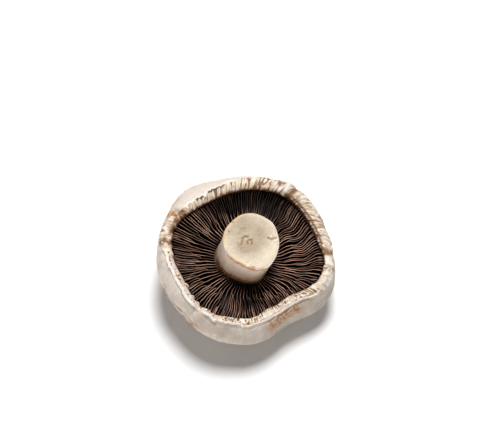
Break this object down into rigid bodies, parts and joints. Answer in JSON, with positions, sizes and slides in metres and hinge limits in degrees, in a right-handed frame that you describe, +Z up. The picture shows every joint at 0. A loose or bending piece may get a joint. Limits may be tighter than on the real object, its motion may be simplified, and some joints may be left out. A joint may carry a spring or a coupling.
{
  "type": "portobello mushroom",
  "caption": "Whole portobello mushroom lying on its crown, gills up, with a slant-cut stem and a torn veil along the lip.",
  "frame": {"origin": "middle of the flattened patch of the crown that the mushroom rests on", "axes": "+Z up from the surface it rests on; -Y towards the viewer; the stem leans 10 degrees from +Z towards the front right"},
  "size_m": [0.0957, 0.0948, 0.0574],
  "materials": {
    "cap": "creamy white mushroom skin, satin, with orange-brown bruises",
    "gills": "dark brown gills with paler pinkish edges, dull",
    "stem": "cream fibrous flesh, dull",
    "veil_remnant": "dried cream membrane with brown edges, dull"
  },
  "bodies": {
    "root": {"cap": "cap", "gills": "gills", "stem": "stem", "veil_remnant": "veil_remnant"}
  },
  "joints": []
}
